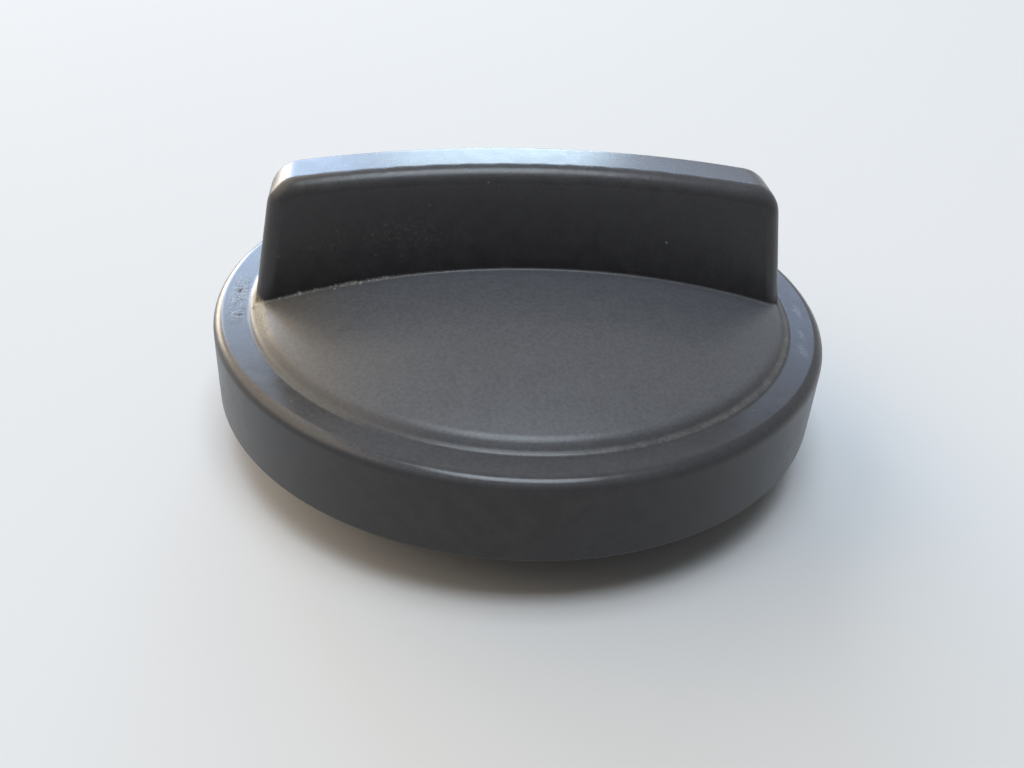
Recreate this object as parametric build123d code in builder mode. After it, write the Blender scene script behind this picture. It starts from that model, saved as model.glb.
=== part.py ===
from build123d import *
import os
from math import radians, sqrt, tan

# Oil filler cap: a moulded cap with a bar grip and a bayonet plug, and the rubber ring that seals it.
# Millimetres, +Z up along the cap's axis, grip along X, origin at the centre of the plug's lower end.

# Skirt and land
cap_diameter = 76.0
skirt_height = 10.4
skirt_wall = 2.5
disc_wall = 3.0
rim_rounding = 1.4
skirt_lip_rounding = 0.5
skirt_inner_rounding = 0.8

# Dome, raised on a small step inside the land
dome_foot_diameter = 67.0
dome_edge_diameter = 64.4
dome_step_height = 1.2
dome_rise = 5.0
dome_shoulder_rounding = 2.4
dome_foot_rounding = 1.6

# Grip bar across the dome
grip_length = 65.4
grip_thickness = 9.2
grip_height = 12.5
grip_crown_drop = 2.5
grip_end_lean = 10.2
grip_side_lean = 1.2
grip_corner_rounding = 4.2
grip_edge_rounding = 2.2
grip_root_rounding = 0.3
grip_wall = 2.3
grip_core_end_gap = 1.5
grip_core_crown_drop = 1.2
grip_core_depth = 1.0
grip_core_rounding = 0.8
grip_rib_thickness = 1.6
grip_rib_spacing = 16.0
grip_rib_recess = 2.0

# Plug that goes down into the filler neck
plug_drop = 6.5
plug_diameter = 49.0
plug_wall = 2.5
spigot_diameter = 48.2
spigot_height = 3.6
spigot_chamfer = 0.8
plug_root_rounding = 1.0

# Bayonet lugs, with tops that rise towards a stop so that a clockwise turn draws the cap down
lug_count = 2
lug_reach = 3.0
lug_width = 21.0
lug_thickness = 2.8
lug_rise = 0.7
lug_lead_length = 3.0
lug_lead_drop = 0.8
lug_stop_width = 2.2
lug_stop_height = 1.8
lug_gap_over_spigot = 0.3
lug_edge_rounding = 0.3

# Sealing ring in its recess under the disc
seal_recess_diameter = 63.8
seal_seat_wall = 2.2
seal_thickness = 3.5
seal_outer_gap = 0.4
seal_inner_gap = 0.2
seal_edge_rounding = 0.4

# Levels and radii that follow
cap_radius = cap_diameter / 2
skirt_inner_radius = cap_radius - skirt_wall
skirt_bottom = plug_drop
land_level = skirt_bottom + skirt_height
flange_underside = land_level - disc_wall
dome_foot_radius = dome_foot_diameter / 2
dome_edge_radius = dome_edge_diameter / 2
dome_edge_level = land_level + dome_step_height
dome_top = dome_edge_level + dome_rise
dome_underside = dome_top - disc_wall
dome_sphere_radius = (dome_edge_radius**2 + dome_rise**2) / (2 * dome_rise)
dome_centre_level = dome_top - dome_sphere_radius
dome_inner_radius = dome_sphere_radius - disc_wall
dome_mid_level = dome_top - disc_wall / 2
plug_radius = plug_diameter / 2
plug_inner_radius = plug_radius - plug_wall
plug_mid_radius = plug_radius - plug_wall / 2
spigot_radius = spigot_diameter / 2
dome_inner_edge_level = dome_centre_level + sqrt(dome_inner_radius**2 - plug_inner_radius**2)
seal_recess_radius = seal_recess_diameter / 2
seal_seat_level = dome_edge_level - seal_seat_wall
seal_face_level = seal_seat_level - seal_thickness
grip_top = dome_top + grip_height
grip_root = dome_edge_level - disc_wall / 2
grip_core_root = dome_inner_edge_level - grip_core_depth
lug_bottom = spigot_height + lug_gap_over_spigot


def tapered_bar(length, thickness, top, crown_drop, root, root_middle, corner_rounding, edge_rounding):
    """Makes a bar along X, crowned above and arched below, sized at the dome's edge level and leaning in."""

    def half_length(level):
        return length / 2 - (level - dome_edge_level) * tan(radians(grip_end_lean))

    def half_thickness(level):
        return thickness / 2 - (level - dome_edge_level) * tan(radians(grip_side_lean))

    end_top = top - crown_drop
    half_top = half_length(end_top)
    half_root = half_length(root)
    with BuildPart() as bar:
        with BuildSketch(Plane.XZ) as elevation:
            with BuildLine():
                crown = ThreePointArc((half_top, end_top), (0, top), (-half_top, end_top))
                arch = ThreePointArc((half_root, root), (0, root_middle), (-half_root, root))
                Line(crown @ 0, arch @ 0)
                Line(crown @ 1, arch @ 1)
            make_face()
            fillet(elevation.vertices().group_by(Axis.Y)[-1], corner_rounding)
        extrude(amount=thickness, both=True)
        with BuildSketch(Plane.YZ):
            with BuildLine():
                Polyline(
                    (-half_thickness(root), root),
                    (half_thickness(root), root),
                    (half_thickness(top), top),
                    (-half_thickness(top), top),
                    close=True,
                )
            make_face()
        extrude(amount=length, both=True, mode=Mode.INTERSECT)
        side_faces = bar.faces().sort_by(Axis.Y)
        front_edges = side_faces[0].edges().sort_by(Axis.Z)[1:]
        back_edges = side_faces[-1].edges().sort_by(Axis.Z)[1:]
        fillet(front_edges + back_edges, edge_rounding)
    return bar.part


grip_bar = tapered_bar(
    length=grip_length,
    thickness=grip_thickness,
    top=grip_top,
    crown_drop=grip_crown_drop,
    root=grip_root,
    root_middle=dome_mid_level,
    corner_rounding=grip_corner_rounding,
    edge_rounding=grip_edge_rounding,
)
grip_hollow = tapered_bar(
    length=2 * (plug_inner_radius - grip_core_end_gap),
    thickness=grip_thickness - 2 * grip_wall,
    top=grip_top - grip_wall,
    crown_drop=grip_core_crown_drop,
    root=grip_core_root,
    root_middle=dome_underside - grip_core_depth,
    corner_rounding=grip_core_rounding,
    edge_rounding=grip_core_rounding,
)

# Hollow inside the grip, open to the plug, with two ribs left across it
with BuildPart() as grip_core:
    add(grip_hollow)
    rib_bottom = dome_top - grip_rib_recess
    with Locations((-grip_rib_spacing / 2, 0, rib_bottom), (grip_rib_spacing / 2, 0, rib_bottom)):
        Box(
            grip_rib_thickness,
            grip_thickness,
            grip_top - rib_bottom,
            align=(Align.CENTER, Align.CENTER, Align.MIN),
            mode=Mode.SUBTRACT,
        )

# Bayonet lugs, drawn as seen from outside the plug and cut to a ring
with BuildPart() as bayonet_lugs:
    half_width = lug_width / 2
    lug_top = lug_bottom + lug_thickness
    lug_planes = [Plane(turn * Plane.XZ.location) for turn in PolarLocations(0, lug_count)]
    with BuildSketch(*lug_planes):
        with BuildLine():
            Polyline(
                (-half_width, lug_bottom),
                (half_width, lug_bottom),
                (half_width, lug_top + lug_stop_height),
                (half_width - lug_stop_width, lug_top + lug_stop_height),
                (half_width - lug_stop_width, lug_top),
                (lug_lead_length - half_width, lug_top - lug_rise),
                (-half_width, lug_top - lug_rise - lug_lead_drop),
                close=True,
            )
        make_face()
    extrude(amount=cap_radius)
    with BuildSketch():
        Circle(plug_radius + lug_reach)
        Circle(plug_mid_radius, mode=Mode.SUBTRACT)
    extrude(amount=land_level, mode=Mode.INTERSECT)
    lug_outer_faces = bayonet_lugs.faces().filter_by(GeomType.CYLINDER).group_by(SortBy.RADIUS)[-1]
    fillet(lug_outer_faces.edges(), lug_edge_rounding)

# The one-piece moulding: half section turned about the axis, then the grip, its hollow and the lugs
with BuildPart() as cap_body:
    with BuildSketch(Plane.XZ) as section:
        with BuildLine():
            RadiusArc((0, dome_top), (dome_edge_radius, dome_edge_level), dome_sphere_radius)
            Polyline(
                (dome_edge_radius, dome_edge_level),
                (dome_foot_radius, land_level),
                (cap_radius, land_level),
                (cap_radius, skirt_bottom),
                (skirt_inner_radius, skirt_bottom),
                (skirt_inner_radius, flange_underside),
                (seal_recess_radius, flange_underside),
                (seal_recess_radius, seal_seat_level),
                (plug_radius, seal_seat_level),
                (plug_radius, spigot_height),
                (spigot_radius, spigot_height),
                (spigot_radius, spigot_chamfer),
                (spigot_radius - spigot_chamfer, 0),
                (plug_inner_radius, 0),
                (plug_inner_radius, dome_inner_edge_level),
            )
            RadiusArc((plug_inner_radius, dome_inner_edge_level), (0, dome_underside), -dome_inner_radius)
            Line((0, dome_underside), (0, dome_top))
        make_face()
        corner_roundings = {
            (dome_edge_radius, dome_edge_level): dome_shoulder_rounding,
            (dome_foot_radius, land_level): dome_foot_rounding,
            (cap_radius, land_level): rim_rounding,
            (cap_radius, skirt_bottom): skirt_lip_rounding,
            (skirt_inner_radius, skirt_bottom): skirt_lip_rounding,
            (skirt_inner_radius, flange_underside): skirt_inner_rounding,
            (plug_inner_radius, dome_inner_edge_level): plug_root_rounding,
        }
        for corner, rounding in corner_roundings.items():
            fillet(section.vertices().sort_by_distance(corner)[0], rounding)
    revolve(axis=Axis.Z)
    add(grip_bar)
    fillet(cap_body.edges(Select.NEW), grip_root_rounding)
    add(grip_core.part, mode=Mode.SUBTRACT)
    add(bayonet_lugs.part)
cap_body.part.label = "cap_body"

# Flat rubber ring round the plug
with BuildPart() as seal_ring:
    with BuildSketch(Plane.XY.offset(seal_face_level)):
        Circle(seal_recess_radius - seal_outer_gap)
        Circle(plug_radius + seal_inner_gap, mode=Mode.SUBTRACT)
    extrude(amount=seal_thickness)
    fillet(seal_ring.edges(), seal_edge_rounding)
seal_ring.part.label = "seal_ring"

os.makedirs("parts", exist_ok=True)
export_step(cap_body.part, "parts/cap_body.step")
export_step(seal_ring.part, "parts/seal_ring.step")
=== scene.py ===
import math

import bmesh
import bpy
from mathutils import Matrix, Vector


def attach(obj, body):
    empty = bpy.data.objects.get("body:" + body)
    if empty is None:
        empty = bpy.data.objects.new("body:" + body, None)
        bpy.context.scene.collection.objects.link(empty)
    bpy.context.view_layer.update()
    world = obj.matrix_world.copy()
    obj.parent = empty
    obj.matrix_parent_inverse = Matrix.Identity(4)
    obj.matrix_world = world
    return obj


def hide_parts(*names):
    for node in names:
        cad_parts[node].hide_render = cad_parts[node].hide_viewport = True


# Looks of an oil filler cap: black moulded plastic with dust in its creases, and a rubber sealing ring.
# The frame is in metres; sizes and places on the cap are named below in millimetres.
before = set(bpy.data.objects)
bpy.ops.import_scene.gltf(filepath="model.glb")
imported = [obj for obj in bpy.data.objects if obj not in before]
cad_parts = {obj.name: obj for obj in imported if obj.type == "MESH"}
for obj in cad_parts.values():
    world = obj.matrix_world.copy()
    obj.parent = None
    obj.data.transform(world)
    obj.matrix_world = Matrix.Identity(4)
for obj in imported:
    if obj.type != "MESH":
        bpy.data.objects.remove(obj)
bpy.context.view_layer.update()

MM = 0.001
TO_MM = 1.0 / MM

# Shape of the cap, as the solids have it
cap_radius = 38.0
skirt_bottom = 6.5
skirt_lip_rounding = 0.5
land_level = 16.9
rim_rounding = 1.4
dome_foot_radius = 33.5
dome_foot_rounding = 1.6
dome_edge_radius = 32.2
dome_edge_level = 18.1
dome_shoulder_rounding = 2.4
dome_top = 23.1
dome_rise = dome_top - dome_edge_level
dome_sphere_radius = (dome_edge_radius**2 + dome_rise**2) / (2 * dome_rise)
dome_centre_level = dome_top - dome_sphere_radius
grip_half_thickness = 4.6

# Joining and shading of the moulding's skin
weld_distance = 0.002
sharp_corner = math.radians(40)
rounding_step = math.radians(9)
rounding_passes = 4
rounding_slack = 0.01
chord_slack = 0.16
end_slack = 1.0

# Sizes of the grain and of the noises that break up dust and wear
plastic_grain_size = 0.24
plastic_mottle_size = 2.2
plastic_speck_size = 0.20
rubber_grain_size = 0.22
rubber_mottle_size = 2.6
rubber_speck_size = 0.18
film_drift_size = 0.45
clump_size = 0.34
clump_run_size = 2.6
crumb_size = 0.45
granule_size = 0.26
scratch_size = 0.34
speckle_size = 0.17
patch_size = 1.5
tear_size = 0.25
foot_run_size = 2.4

# How far a torn edge strays to either side of a noise's middle, and how much of that a fleck's edge does
tear_middle = (0.5, 0.5, 0.5)
tear_reach = 0.9
fleck_tear = 0.4

# Rings round the cap that dust gathers along, each as its radius and its level
foot_ring = (33.3, 17.08)
crust_ring = (32.5, 17.8)

# Ranges that a mask is eased over: the value's low and high, and what it becomes at each
mottle_spread = (0.25, 0.75, 0.0, 1.0)
film_facing = (0.2, 0.95, 0.0, 1.0)
film_drift = (0.25, 0.75, 0.64, 1.08)
clump_breaks = (0.42, 0.62, 0.0, 1.0)
clump_runs = (0.35, 0.7, -0.55, 0.3)
speck_chance = (0.90, 1.0, 0.0, 0.10)
speck_edge = (0.0, 0.03, 0.0, 1.0)
foot_line_fade = (0.05, 0.60, 1.0, 0.0)
foot_line_rightward = (-6.0, 27.0, 0.15, 1.5)
foot_line_frontward = (-2.0, 16.0, 1.0, 0.3)
foot_line_runs = (0.30, 0.70, 0.35, 1.0)
foot_line_breaks = (0.30, 0.70, 0.18, 0.46)
root_line_fade = (0.12, 0.42, 1.0, 0.0)
root_line_leftward = (-20.0, -8.0, 1.0, 0.10)
root_line_over_land = (land_level, land_level + 1.0, 0.0, 1.0)
crust_fade = (0.2, 1.3, 1.0, 0.0)
crust_front_end = (-14.0, -7.0, 0.0, 1.0)
crust_back_end = (-2.0, 4.5, 1.0, 0.0)
crust_leftward = (-24.0, -14.0, 1.0, 0.0)
crust_breaks = (0.36, 0.60, 0.25, 1.0)
patch_breaks = (0.32, 0.55, 0.40, 1.0)
pale_speckles = (0.55, 0.68, 0.0, 1.0)
dark_speckles = (0.45, 0.34, 0.0, 1.0)
smudge_breaks = (0.48, 0.70, 0.0, 1.0)
smear_breaks = (0.30, 0.70, 0.0, 1.0)
# The land's dust film is thicker on the left: partly dust, partly painted warm light falling from the left
land_film_and_painted_left_light = (-30.0, 30.0, 0.38, 0.14)
# The dust film's colour turns from warm on the left to cool elsewhere: painted warm lamp light and painted
# cool daylight
painted_tint_shift = (-32.0, -16.0, 0.0, 1.0)
grip_film = (25.0, 31.0, 1.0, 0.5)
land_lower_edge = (land_level - 0.6, land_level - 0.1, 0.0, 1.0)
land_upper_edge = (land_level + 0.05, land_level + 0.25, 1.0, 0.0)
grip_top_wear = (31.0, 33.5, 0.0, 0.4)
plastic_roughness = (0.0, 1.0, 0.31, 0.37)
plastic_grain_depth = (0.0, 0.4, 0.018, 0.004)
rubber_roughness = (0.0, 1.0, 0.52, 0.68)

# Levels over which the land's thin film of dust turns into the dome's, and the dome's share of it
film_step = (land_level + 0.1, land_level + 1.3)
dome_film_share = 0.60

# How a spot fades: 0 for a hard edge, 1 for a fade from its very centre
scuff_softness = 0.6
pit_softness = 0.8
fleck_softness = 0.7
faint_softness = 0.9
cloud_softness = 1.0

# Size of a speck against its cell, and how much the rubber faces up and is creased, as dust takes it
speck_in_cell = 0.12
rubber_facing = 0.3
rubber_crease = 0.15

# Gloss lost to dust and scuffs, and gained where the plastic is worn smooth
dust_dulling = 0.4
scuff_dulling = 0.4
worn_gloss = 0.13

# Heights of what lies on the plastic and depths of what is worn out of it
crumb_height = 0.05
crust_height = 0.05
fleck_height = 0.05
scuff_height = 0.06
pit_height = -0.06
rubber_grain_depth = 0.02

# Colours of the plastic, the rubber and the film of dust; the film's warm and cool colours are dust tinted
# with painted warm lamp light and painted cool daylight
plastic_dark = (0.013, 0.012, 0.014, 1.0)
plastic_pale = (0.025, 0.024, 0.026, 1.0)
rubber_dark = (0.013, 0.013, 0.013, 1.0)
rubber_pale = (0.022, 0.021, 0.020, 1.0)
film_warm_painted_lamp_tint = (0.205, 0.182, 0.150, 1.0)
film_cool_painted_daylight_tint = (0.190, 0.196, 0.216, 1.0)

# What lies on them, each as its colour and its share where it is thickest
foot_dust_layer = ((0.32, 0.31, 0.29, 1.0), 1.0)
smudge_layer = ((0.34, 0.32, 0.30, 1.0), 0.12)
smear_layer = ((0.36, 0.38, 0.42, 1.0), 0.42)
pale_scuff_layer = ((0.40, 0.41, 0.43, 1.0), 0.55)
crumb_layer = ((0.40, 0.38, 0.34, 1.0), 0.7)
speck_layer = ((0.42, 0.40, 0.38, 1.0), 0.22)
fleck_layer = ((0.50, 0.48, 0.44, 1.0), 0.5)
crust_layer = ((0.52, 0.45, 0.31, 1.0), 0.85)
pit_layer = ((0.006, 0.006, 0.006, 1.0), 1.0)
rubber_crumb_layer = ((0.16, 0.15, 0.13, 1.0), 0.4)
rubber_speck_layer = ((0.30, 0.28, 0.25, 1.0), 0.4)
dark_scuff_share = 0.5

# Marks on the cap, each as its centre and its half extents
scuff_marks = [
    ((-34.9, -0.8, 16.9), (1.7, 8.0, 0.8)),
]
smear_marks = [
    ((35.2, -3.8, 16.9), (0.7, 2.8, 0.8)),
    ((33.9, -9.6, 16.9), (0.6, 1.9, 0.8)),
    ((32.9, -13.2, 16.9), (0.8, 2.4, 0.8)),
]
pit_marks = [
    ((-35.1, 0.7, 16.9), (0.46, 0.80, 0.5)),
    ((-34.4, -5.3, 16.9), (0.60, 0.50, 0.5)),
    ((-32.9, -4.2, 17.4), (0.26, 0.40, 0.5)),
]
bright_flecks = [
    ((-27.2, -4.7, 19.6), (0.38, 0.40, 0.30)),
    ((-23.0, -5.0, 20.5), (0.26, 0.30, 0.25)),
    ((-19.9, -4.8, 21.1), (0.34, 0.35, 0.28)),
    ((16.7, -4.4, 26.7), (0.20, 0.60, 0.18)),
]
faint_flecks = [
    ((-29.3, -4.5, 24.4), (0.30, 0.60, 0.26)),
    ((-22.5, -4.4, 27.7), (0.30, 0.60, 0.24)),
    ((-18.3, -4.4, 27.3), (0.26, 0.60, 0.30)),
    ((-16.8, -4.4, 28.5), (0.40, 0.60, 0.22)),
    ((-14.5, -4.4, 28.1), (0.28, 0.60, 0.28)),
    ((-18.1, -4.5, 24.7), (0.30, 0.60, 0.24)),
    ((-15.0, -4.5, 24.6), (0.34, 0.60, 0.22)),
    ((-11.7, -4.3, 31.1), (0.24, 0.60, 0.20)),
    ((4.9, -17.1, 21.6), (0.36, 0.30, 0.40)),
    ((-0.4, -27.4, 19.5), (0.34, 0.70, 0.40)),
    ((6.6, -23.7, 20.2), (0.40, 0.45, 0.40)),
    ((15.0, -11.5, 21.4), (0.45, 0.35, 0.40)),
]
smudge_marks = [
    ((-14.5, -4.4, 27.4), (11.0, 1.0, 3.6)),
    ((-24.0, -4.4, 26.0), (5.0, 1.0, 3.0)),
    ((16.8, -29.0, 17.1), (1.8, 1.0, 0.6)),
    ((22.7, -24.1, 17.4), (1.6, 1.3, 0.6)),
    ((28.0, -17.6, 17.3), (1.2, 2.6, 0.6)),
]

# Camera, from the view that the photograph was taken from
camera_place = Vector((-14.07, -116.97, 81.48))
camera_aim = Vector((-2.60, -19.03, 16.05))
camera_roll = math.radians(3.6)
camera_lens = 36.91
camera_sensor = 36.0
camera_near = 0.001

# Studio: the floor, in metres, and the surroundings as light and as they are seen
floor_radius = 1.6
floor_sides = 180
floor_colour = (0.80, 0.79, 0.78, 1.0)
floor_roughness = 0.9
floor_sheen = 0.1
surround_colour = (0.98, 0.99, 1.0, 1.0)
surround_light = 0.15
surround_seen = 0.55

# Soft lamps: heading and elevation in degrees, distance, width and height in metres, watts and colour.
# Heading 0 is behind the cap as the camera sees it, and 90 is on its right.
lamps = {
    "window_left": (-17, 17.6, 2.00, (0.68, 0.96), 12.4, (0.50, 0.69, 1.0)),
    "window_middle": (4, 17.6, 2.00, (0.62, 0.96), 13.6, (0.62, 0.82, 1.0)),
    "window_right": (23, 25.0, 2.00, (0.54, 0.42), 1.68, (0.51, 0.67, 1.0)),
    "panel_left": (-68, 36, 2.00, (3.40, 1.80), 25.0, (1.0, 0.83, 0.62)),
    "lamp_left": (-34, 9, 2.00, (1.00, 0.66), 15.0, (1.0, 0.87, 0.72)),
    "overhead": (180, 84, 1.50, (0.80, 0.80), 13.4, (0.80, 0.90, 1.0)),
}

# Colour sockets of a Mix node, which gives the same names to sockets of other kinds
mix_share = 0
mix_first = 6
mix_second = 7
mix_result = 2


class Wiring:
    """Adds nodes to one tree and joins them, so that a finish reads as a list of steps."""

    def __init__(self, tree):
        self.tree = tree

    def feed(self, value, socket):
        """Links a node's result to a socket, or sets a plain value on it."""
        if isinstance(value, bpy.types.NodeSocket):
            self.tree.links.new(value, socket)
        else:
            socket.default_value = value

    def add(self, kind, inputs=None, **settings):
        """Adds a node with its settings, and feeds the inputs that are named."""
        node = self.tree.nodes.new(kind)
        for name, value in settings.items():
            setattr(node, name, value)
        for name, value in (inputs or {}).items():
            self.feed(value, node.inputs[name])
        return node

    def sum_up(self, operation, *terms, clamp=False):
        """One step of arithmetic on plain values."""
        node = self.add("ShaderNodeMath", operation=operation, use_clamp=clamp)
        for socket, term in zip(node.inputs, terms):
            self.feed(term, socket)
        return node.outputs["Value"]

    def steer(self, operation, *terms, result="Vector"):
        """One step of arithmetic on vectors."""
        node = self.add("ShaderNodeVectorMath", operation=operation)
        for socket, term in zip(node.inputs, terms):
            self.feed(term, socket)
        return node.outputs[result]

    def scaled(self, vector, factor):
        """Lengthens or shortens a vector by a factor."""
        node = self.add("ShaderNodeVectorMath", {"Vector": vector, "Scale": factor}, operation="SCALE")
        return node.outputs["Vector"]

    def ease(self, value, low, high, to_low=0.0, to_high=1.0):
        """Goes smoothly from to_low to to_high as the value goes from low to high."""
        node = self.add(
            "ShaderNodeMapRange",
            {"Value": value, "From Min": low, "From Max": high, "To Min": to_low, "To Max": to_high},
            interpolation_type="SMOOTHSTEP",
        )
        return node.outputs["Result"]

    def noise(self, place, size, detail=2.0, roughness=0.5, result="Fac"):
        """Cloudy noise whose lumps are about size across, in the place's own units."""
        node = self.add(
            "ShaderNodeTexNoise",
            {"Vector": place, "Scale": 1.0 / size, "Detail": detail, "Roughness": roughness},
        )
        return node.outputs[result]

    def blend(self, share, first, second):
        """Mixes two colours, by the share of the second."""
        node = self.add("ShaderNodeMix", data_type="RGBA")
        for index, value in ((mix_share, share), (mix_first, first), (mix_second, second)):
            self.feed(value, node.inputs[index])
        return node.outputs[mix_result]

    def lay(self, under, mask, layer):
        """Lays a layer, given as its colour and its share, over the colour under it."""
        colour, share = layer
        return self.blend(self.product(mask, share), under, colour)

    def bump(self, height):
        """Normal of a surface whose height is given in millimetres."""
        node = self.add("ShaderNodeBump", {"Height": height, "Strength": 1.0, "Distance": MM})
        return node.outputs["Normal"]

    def largest(self, *values):
        """Largest of several values."""
        result = values[0]
        for value in values[1:]:
            result = self.sum_up("MAXIMUM", result, value)
        return result

    def product(self, *values):
        """Several values multiplied together."""
        result = values[0]
        for value in values[1:]:
            result = self.sum_up("MULTIPLY", result, value)
        return result


def effect_group(name, inputs, outputs):
    """Starts a shader node group with named sockets, and gives its wiring, its entry and its exit."""
    tree = bpy.data.node_groups.new(name, "ShaderNodeTree")
    for label, kind in inputs.items():
        tree.interface.new_socket(label, in_out="INPUT", socket_type=kind)
    for label, kind in outputs.items():
        tree.interface.new_socket(label, in_out="OUTPUT", socket_type=kind)
    wiring = Wiring(tree)
    return tree, wiring, wiring.add("NodeGroupInput").outputs, wiring.add("NodeGroupOutput").inputs


NUMBER = "NodeSocketFloat"
VECTOR = "NodeSocketVector"


def make_grain_group():
    """Moulded grain: a fine pebbled height, and a slow mottling of the surface's tone."""
    tree, steps, given, result = effect_group(
        "moulded_grain",
        {"Place": VECTOR, "Grain Size": NUMBER, "Mottle Size": NUMBER},
        {"Height": NUMBER, "Mottle": NUMBER},
    )
    fine = steps.add("ShaderNodeTexNoise", {"Vector": given["Place"], "Detail": 3.0, "Roughness": 0.65})
    steps.feed(steps.sum_up("DIVIDE", 1.0, given["Grain Size"]), fine.inputs["Scale"])
    slow = steps.add("ShaderNodeTexNoise", {"Vector": given["Place"], "Detail": 5.0, "Roughness": 0.7})
    steps.feed(steps.sum_up("DIVIDE", 1.0, given["Mottle Size"]), slow.inputs["Scale"])
    steps.feed(fine.outputs["Fac"], result["Height"])
    steps.feed(steps.ease(slow.outputs["Fac"], *mottle_spread), result["Mottle"])
    return tree


def make_dust_group():
    """Settled dust: a thin film on what faces up, crumbs where the crease mask says, and stray specks."""
    tree, steps, given, result = effect_group(
        "settled_dust",
        {"Place": VECTOR, "Facing Up": NUMBER, "Crease": NUMBER, "Speck Size": NUMBER},
        {"Film": NUMBER, "Crumbs": NUMBER, "Specks": NUMBER},
    )
    drift = steps.noise(given["Place"], film_drift_size, detail=5.0, roughness=0.75)
    upward = steps.ease(given["Facing Up"], *film_facing)
    steps.feed(steps.product(upward, steps.ease(drift, *film_drift)), result["Film"])

    clumps = steps.ease(steps.noise(given["Place"], clump_size, detail=4.0, roughness=0.7), *clump_breaks)
    runs = steps.ease(steps.noise(given["Place"], clump_run_size), *clump_runs)
    broken = steps.sum_up("ADD", clumps, runs)
    steps.feed(steps.sum_up("MULTIPLY", given["Crease"], broken, clamp=True), result["Crumbs"])

    cells = steps.add("ShaderNodeTexVoronoi", {"Vector": given["Place"]}, feature="F1")
    steps.feed(steps.sum_up("DIVIDE", speck_in_cell, given["Speck Size"]), cells.inputs["Scale"])
    chance = steps.add("ShaderNodeSeparateColor", {"Color": cells.outputs["Color"]}).outputs["Red"]
    reach = steps.ease(chance, *speck_chance)
    near = steps.sum_up("SUBTRACT", reach, cells.outputs["Distance"])
    steps.feed(steps.ease(near, *speck_edge), result["Specks"])
    return tree


moulded_grain = make_grain_group()
settled_dust = make_dust_group()


def new_finish(name):
    """Starts a node material, and gives it with its wiring, its shader and the place on the cap in mm."""
    material = bpy.data.materials.new(name)
    material.use_nodes = True
    steps = Wiring(material.node_tree)
    shader = material.node_tree.nodes["Principled BSDF"]
    here = steps.add("ShaderNodeTexCoord").outputs["Object"]
    return material, steps, shader, steps.scaled(here, TO_MM)


def spot(steps, place, centre, size, soft):
    """Mask of an egg-shaped spot round a centre, size giving its half extents."""
    offset = steps.steer("SUBTRACT", place, centre)
    reach = steps.steer("LENGTH", steps.steer("DIVIDE", offset, size), result="Value")
    return steps.ease(reach, 1.0 - soft, 1.0, 1.0, 0.0)


def spots(steps, place, marks, soft):
    """Mask of several spots, each given as its centre and its half extents."""
    return steps.largest(*(spot(steps, place, centre, size, soft) for centre, size in marks))


def distance_between(steps, across, up):
    """Distance in a plane from its two offsets."""
    flat = steps.add("ShaderNodeCombineXYZ", {"X": across, "Y": up}).outputs["Vector"]
    return steps.steer("LENGTH", flat, result="Value")


def from_ring(steps, radius, z, ring):
    """Distance from a ring round the cap, given as its radius and its level."""
    ring_radius, ring_level = ring
    across = steps.sum_up("SUBTRACT", radius, ring_radius)
    return distance_between(steps, across, steps.sum_up("SUBTRACT", z, ring_level))


def foot_dust_mask(steps, place, x, y, z, radius, crumbly):
    """Soft pale line in the cove at the dome's foot, strongest at the right front."""
    line = steps.product(
        steps.ease(from_ring(steps, radius, z, foot_ring), *foot_line_fade),
        steps.ease(x, *foot_line_rightward),
        steps.ease(y, *foot_line_frontward),
    )
    runs = steps.ease(steps.noise(place, foot_run_size, detail=4.0, roughness=0.7), *foot_line_runs)
    return steps.product(line, runs, steps.ease(crumbly, *foot_line_breaks))


def root_line_mask(steps, x, y, z, radius):
    """Line where the grip meets the dome, with most dust towards its left end."""
    drop = steps.sum_up("SUBTRACT", dome_sphere_radius**2, steps.product(radius, radius))
    dome_surface = steps.sum_up("ADD", steps.sum_up("SQRT", drop), dome_centre_level)
    across = steps.sum_up("SUBTRACT", steps.sum_up("ABSOLUTE", y), grip_half_thickness)
    from_root = distance_between(steps, across, steps.sum_up("SUBTRACT", z, dome_surface))
    return steps.product(
        steps.ease(from_root, *root_line_fade),
        steps.ease(z, *root_line_over_land),
        steps.ease(x, *root_line_leftward),
    )


def crust_mask(steps, place, x, y, z, radius, patchy):
    """Ragged strip of dried dust along the left of the dome's step."""
    granular = steps.noise(place, granule_size, detail=3.0, roughness=0.6)
    return steps.product(
        steps.ease(from_ring(steps, radius, z, crust_ring), *crust_fade),
        steps.ease(y, *crust_front_end),
        steps.ease(y, *crust_back_end),
        steps.ease(x, *crust_leftward),
        steps.ease(granular, *crust_breaks),
        patchy,
    )


def wear_masks(steps, place, patchy, crumbly):
    """Masks of scuffs, pits, flecks, smudges and smears, each broken up by a noise of its own."""
    speckle = steps.noise(place, speckle_size)
    scuffed = steps.product(spots(steps, place, scuff_marks, scuff_softness), patchy)

    tear = steps.noise(place, tear_size, detail=3.0, result="Color")
    tear_shift = steps.scaled(steps.steer("SUBTRACT", tear, tear_middle), tear_reach)
    torn_place = steps.steer("ADD", place, tear_shift)
    uneven_place = steps.steer("ADD", place, steps.scaled(tear_shift, fleck_tear))

    clouds = spots(steps, place, smudge_marks, cloud_softness)
    smudges = steps.product(clouds, steps.ease(crumbly, *smudge_breaks))
    scratchy = steps.noise(place, scratch_size, detail=4.0, roughness=0.7)
    smears = spots(steps, place, smear_marks, cloud_softness)
    return {
        "pale_scuffs": steps.product(scuffed, steps.ease(speckle, *pale_speckles)),
        "dark_scuffs": steps.product(scuffed, steps.ease(speckle, *dark_speckles)),
        "scuff_relief": steps.product(scuffed, speckle),
        "pits": spots(steps, torn_place, pit_marks, pit_softness),
        "flecks": spots(steps, uneven_place, bright_flecks, fleck_softness),
        "smudges": steps.largest(smudges, spots(steps, uneven_place, faint_flecks, faint_softness)),
        "smears": steps.product(smears, steps.ease(scratchy, *smear_breaks)),
    }


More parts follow.
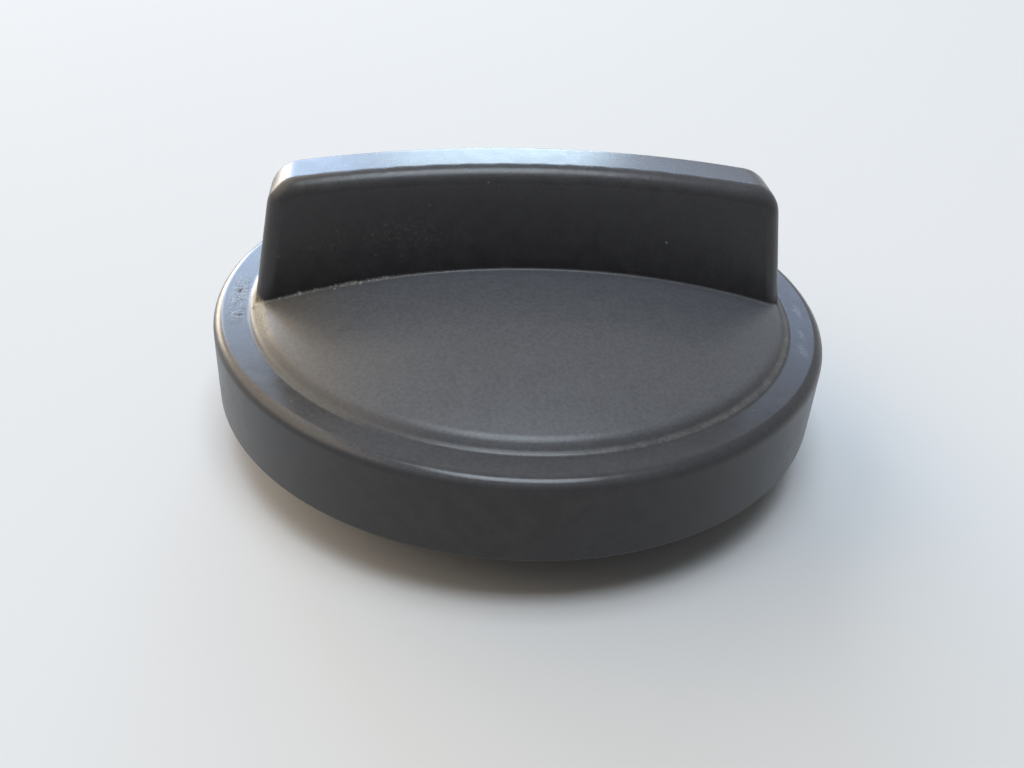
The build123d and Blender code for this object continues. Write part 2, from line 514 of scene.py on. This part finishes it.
def make_cap_plastic():
    """Black satin plastic with moulded grain, dust in the creases and scuffs on the land, and a dust film
    with painted warm and cool light in its colour.
    """
    material, steps, shader, place = new_finish("black_plastic_satin")
    axes = steps.add("ShaderNodeSeparateXYZ", {"Vector": place})
    x, y, z = (axes.outputs[axis] for axis in "XYZ")
    radius = steps.sum_up("SQRT", steps.sum_up("ADD", steps.product(x, x), steps.product(y, y)))
    normal = steps.add("ShaderNodeNewGeometry").outputs["Normal"]
    facing_up = steps.add("ShaderNodeSeparateXYZ", {"Vector": normal}).outputs["Z"]

    crumbly = steps.noise(place, crumb_size, detail=5.0, roughness=0.75)
    patchy = steps.ease(steps.noise(place, patch_size), *patch_breaks)
    foot_dust = foot_dust_mask(steps, place, x, y, z, radius, crumbly)
    crust = crust_mask(steps, place, x, y, z, radius, patchy)
    worn = wear_masks(steps, place, patchy, crumbly)
    grain = steps.add(
        "ShaderNodeGroup",
        {"Place": place, "Grain Size": plastic_grain_size, "Mottle Size": plastic_mottle_size},
        node_tree=moulded_grain,
    ).outputs
    dust = steps.add(
        "ShaderNodeGroup",
        {
            "Place": place,
            "Facing Up": facing_up,
            "Crease": root_line_mask(steps, x, y, z, radius),
            "Speck Size": plastic_speck_size,
        },
        node_tree=settled_dust,
    ).outputs

    # Colour, from the plastic outwards to what lies on it
    # The film's share on the land grows to the left: dust, with painted light from the left
    film_share_with_painted_light = steps.ease(z, *film_step, steps.ease(x, *land_film_and_painted_left_light), dome_film_share)
    film = steps.product(dust["Film"], film_share_with_painted_light, steps.ease(z, *grip_film))
    # Film colour: dust, tinted with painted warm lamp light on the left and painted cool daylight elsewhere
    film_colour_with_painted_tint = steps.blend(steps.ease(x, *painted_tint_shift), film_warm_painted_lamp_tint, film_cool_painted_daylight_tint)
    colour = steps.blend(grain["Mottle"], plastic_dark, plastic_pale)
    colour = steps.blend(film, colour, film_colour_with_painted_tint)
    dark_pits = steps.largest(worn["pits"], steps.product(worn["dark_scuffs"], dark_scuff_share))
    for mask, layer in (
        (foot_dust, foot_dust_layer),
        (worn["smudges"], smudge_layer),
        (worn["smears"], smear_layer),
        (worn["pale_scuffs"], pale_scuff_layer),
        (dust["Crumbs"], crumb_layer),
        (dust["Specks"], speck_layer),
        (worn["flecks"], fleck_layer),
        (crust, crust_layer),
        (dark_pits, pit_layer),
    ):
        colour = steps.lay(colour, mask, layer)
    steps.feed(colour, shader.inputs["Base Color"])

    # Gloss: the flat land and the grip's top are worn smooth, and dust is dull
    on_land = steps.product(steps.ease(z, *land_lower_edge), steps.ease(z, *land_upper_edge))
    smooth_worn = steps.largest(on_land, steps.ease(z, *grip_top_wear))
    rough = steps.ease(grain["Mottle"], *plastic_roughness)
    rough = steps.sum_up("SUBTRACT", rough, steps.product(smooth_worn, worn_gloss))
    dull_scuffs = steps.product(worn["pale_scuffs"], scuff_dulling)
    on_top = (foot_dust, dust["Crumbs"], crust, worn["pits"], worn["flecks"], dust["Specks"], dull_scuffs)
    dulled = steps.product(steps.largest(*on_top), dust_dulling)
    steps.feed(steps.sum_up("ADD", rough, dulled, clamp=True), shader.inputs["Roughness"])

    # Height: grain, what lies on it, and what is scuffed or pitted
    height = steps.product(grain["Height"], steps.ease(smooth_worn, *plastic_grain_depth))
    for mask, rise in (
        (dust["Crumbs"], crumb_height),
        (crust, crust_height),
        (worn["flecks"], fleck_height),
        (worn["pits"], pit_height),
        (worn["scuff_relief"], scuff_height),
    ):
        height = steps.sum_up("ADD", height, steps.product(mask, rise))
    steps.feed(steps.bump(height), shader.inputs["Normal"])
    return material


def make_ring_rubber():
    """Matt black rubber with a fine grain and a little dust."""
    material, steps, shader, place = new_finish("black_rubber_matt")
    grain = steps.add(
        "ShaderNodeGroup",
        {"Place": place, "Grain Size": rubber_grain_size, "Mottle Size": rubber_mottle_size},
        node_tree=moulded_grain,
    ).outputs
    dust = steps.add(
        "ShaderNodeGroup",
        {
            "Place": place,
            "Facing Up": rubber_facing,
            "Crease": rubber_crease,
            "Speck Size": rubber_speck_size,
        },
        node_tree=settled_dust,
    ).outputs
    colour = steps.blend(grain["Mottle"], rubber_dark, rubber_pale)
    colour = steps.lay(colour, dust["Crumbs"], rubber_crumb_layer)
    colour = steps.lay(colour, dust["Specks"], rubber_speck_layer)
    steps.feed(colour, shader.inputs["Base Color"])
    steps.feed(steps.ease(grain["Mottle"], *rubber_roughness), shader.inputs["Roughness"])
    steps.feed(steps.bump(steps.product(grain["Height"], rubber_grain_depth)), shader.inputs["Normal"])
    return material


def find_turned_roundings():
    """Works out the roundings of the lip, the rim, the cove and the shoulder in the cap's half section.

    Each is its centre's radius and level, its own radius, where it starts and ends in degrees, and 1 for an
    edge that bulges or -1 for a hollow.
    """
    edge = Vector((dome_edge_radius, dome_edge_level))
    foot = Vector((dome_foot_radius, land_level))
    down_step = (foot - edge).normalized()
    outward = Vector((-down_step.y, down_step.x))
    straight_down, level_out, straight_up, half_turn = -90.0, 0.0, 90.0, 180.0
    step_angle = math.degrees(math.atan2(outward.y, outward.x))

    lip_centre = (cap_radius - skirt_lip_rounding, skirt_bottom + skirt_lip_rounding)
    rim_centre = (cap_radius - rim_rounding, land_level - rim_rounding)
    cove_reach = dome_foot_rounding * (1.0 - outward.y) / outward.x
    cove_centre = (dome_foot_radius + cove_reach, land_level + dome_foot_rounding)

    # The shoulder's centre lies inside the step's line and inside the dome, by its rounding from each
    sphere_centre = Vector((0.0, dome_centre_level))
    from_sphere = edge - outward * dome_shoulder_rounding - sphere_centre
    along = from_sphere.dot(down_step)
    excess = from_sphere.length_squared - (dome_sphere_radius - dome_shoulder_rounding) ** 2
    from_sphere = from_sphere - down_step * (along + math.sqrt(along**2 - excess))
    dome_angle = math.degrees(math.atan2(from_sphere.y, from_sphere.x))
    return [
        (*lip_centre, skirt_lip_rounding, straight_down, level_out, 1),
        (*rim_centre, rim_rounding, level_out, straight_up, 1),
        (*cove_centre, dome_foot_rounding, step_angle - half_turn, straight_down, -1),
        (*(sphere_centre + from_sphere), dome_shoulder_rounding, step_angle, dome_angle, 1),
    ]


turned_roundings = find_turned_roundings()


def on_rounding(point, slack):
    """Direction square to the turned rounding that a point is near, and its place there, or nothing."""
    place = point * TO_MM
    radial = Vector((place.x, place.y, 0.0)).normalized()
    for centre_radius, centre_level, rounding, low, high, side in turned_roundings:
        centre = radial * centre_radius + Vector((0.0, 0.0, centre_level))
        spoke = place - centre
        tilt = math.degrees(math.atan2(spoke.z, spoke.dot(radial)))
        if abs(spoke.length - rounding) < slack and low - end_slack < tilt < high + end_slack:
            spoke.normalize()
            return spoke * side, (centre + spoke * rounding) * MM
    return None


def refine_roundings(joined):
    """Splits coarse triangles on the turned roundings and sets the new points on the true arcs."""
    for _ in range(rounding_passes):
        found = {vertex: on_rounding(vertex.co, rounding_slack) for vertex in joined.verts}
        coarse = []
        for edge in joined.edges:
            ends = [found[vertex] for vertex in edge.verts]
            if None not in ends and ends[0][0].angle(ends[1][0]) > rounding_step:
                coarse.append(edge)
        made = bmesh.ops.subdivide_edges(joined, edges=coarse, cuts=1)
        for item in made["geom_inner"]:
            near = on_rounding(item.co, chord_slack) if isinstance(item, bmesh.types.BMVert) else None
            if near:
                item.co = near[1]
        bmesh.ops.triangulate(joined, faces=[face for face in joined.faces if len(face.verts) > 3])


def true_normals(skin):
    """Gives the corners of triangles on the turned roundings their exact normals."""
    found = [on_rounding(vertex.co, rounding_slack) for vertex in skin.vertices]
    normals = [corner.vector.copy() for corner in skin.corner_normals]
    for loop in skin.loops:
        near = found[loop.vertex_index]
        if near:
            normals[loop.index] = near[0]
    skin.normals_split_custom_set(normals)


def make_cap_shell(material):
    """The moulding as one joined skin with even shading, in place of its loose triangles."""
    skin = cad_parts["cap_body"].data.copy()
    joined = bmesh.new()
    joined.from_mesh(skin)
    bmesh.ops.remove_doubles(joined, verts=joined.verts, dist=weld_distance * MM)
    refine_roundings(joined)
    joined.to_mesh(skin)
    joined.free()
    stored_normals = skin.attributes.get("custom_normal")
    if stored_normals:
        skin.attributes.remove(stored_normals)
    skin.shade_smooth()
    skin.set_sharp_from_angle(angle=sharp_corner)
    skin.materials.clear()
    skin.materials.append(material)

    shell = bpy.data.objects.new("cap_shell", skin)
    bpy.context.scene.collection.objects.link(shell)
    evening = shell.modifiers.new("even_shading", "WEIGHTED_NORMAL")
    evening.keep_sharp = True
    ready = shell.evaluated_get(bpy.context.evaluated_depsgraph_get())
    evened = bpy.data.meshes.new_from_object(ready)
    shell.modifiers.clear()
    true_normals(evened)
    shell.data = evened
    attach(shell, "root")
    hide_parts("cap_body")


def dress(node_name, material):
    """Gives a solid from the frame its finish."""
    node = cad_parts[node_name]
    node.data.materials.clear()
    node.data.materials.append(material)


def make_floor():
    """Round pale matt floor, wide enough for its edge to stay clear of the cap in every view."""
    mesh = bpy.data.meshes.new("floor")
    turns = [math.tau * step / floor_sides for step in range(floor_sides)]
    corners = [(math.cos(turn) * floor_radius, math.sin(turn) * floor_radius, 0.0) for turn in turns]
    mesh.from_pydata(corners, [], [range(floor_sides)])
    floor = bpy.data.objects.new("floor", mesh)
    bpy.context.scene.collection.objects.link(floor)
    material = bpy.data.materials.new("pale_floor")
    material.use_nodes = True
    shader = material.node_tree.nodes["Principled BSDF"]
    shader.inputs["Base Color"].default_value = floor_colour
    shader.inputs["Roughness"].default_value = floor_roughness
    shader.inputs["Specular IOR Level"].default_value = floor_sheen
    mesh.materials.append(material)


def softbox(name, heading, elevation, distance, size, power, colour):
    """Soft lamp that faces the cap."""
    turn, rise = math.radians(heading), math.radians(elevation)
    towards = Vector((math.sin(turn) * math.cos(rise), math.cos(turn) * math.cos(rise), math.sin(rise)))
    lamp = bpy.data.lights.new(name, "AREA")
    lamp.shape = "RECTANGLE"
    lamp.size, lamp.size_y = size
    lamp.energy = power
    lamp.color = colour
    holder = bpy.data.objects.new(name, lamp)
    holder.location = towards * distance + Vector((0.0, 0.0, land_level * MM))
    holder.rotation_euler = (-towards).to_track_quat("-Z", "Y").to_euler()
    bpy.context.scene.collection.objects.link(holder)


def make_surround():
    """Even pale surroundings: dimmer as light than as what the camera and gloss see."""
    world = bpy.data.worlds.new("pale_surround")
    bpy.context.scene.world = world
    world.use_nodes = True
    steps = Wiring(world.node_tree)
    path = steps.add("ShaderNodeLightPath").outputs
    seen = steps.largest(path["Is Camera Ray"], path["Is Glossy Ray"], path["Is Transmission Ray"])
    back = world.node_tree.nodes["Background"]
    back.inputs["Color"].default_value = surround_colour
    steps.feed(steps.ease(seen, 0.0, 1.0, surround_light, surround_seen), back.inputs["Strength"])


def make_camera():
    """Camera at the photograph's place, turned about its own line of sight."""
    lens = bpy.data.cameras.new("camera")
    lens.sensor_width = camera_sensor
    lens.lens = camera_lens
    lens.clip_start = camera_near
    camera = bpy.data.objects.new("camera", lens)
    aim = (camera_aim - camera_place).to_track_quat("-Z", "Y").to_matrix()
    turned = aim @ Matrix.Rotation(camera_roll, 3, "Z")
    camera.matrix_world = Matrix.Translation(camera_place * MM) @ turned.to_4x4()
    bpy.context.scene.collection.objects.link(camera)
    bpy.context.scene.camera = camera


make_cap_shell(make_cap_plastic())
dress("seal_ring", make_ring_rubber())
make_floor()
make_surround()
for lamp_name, settings in lamps.items():
    softbox(lamp_name, *settings)
make_camera()
bpy.context.scene.view_settings.view_transform = "Standard"
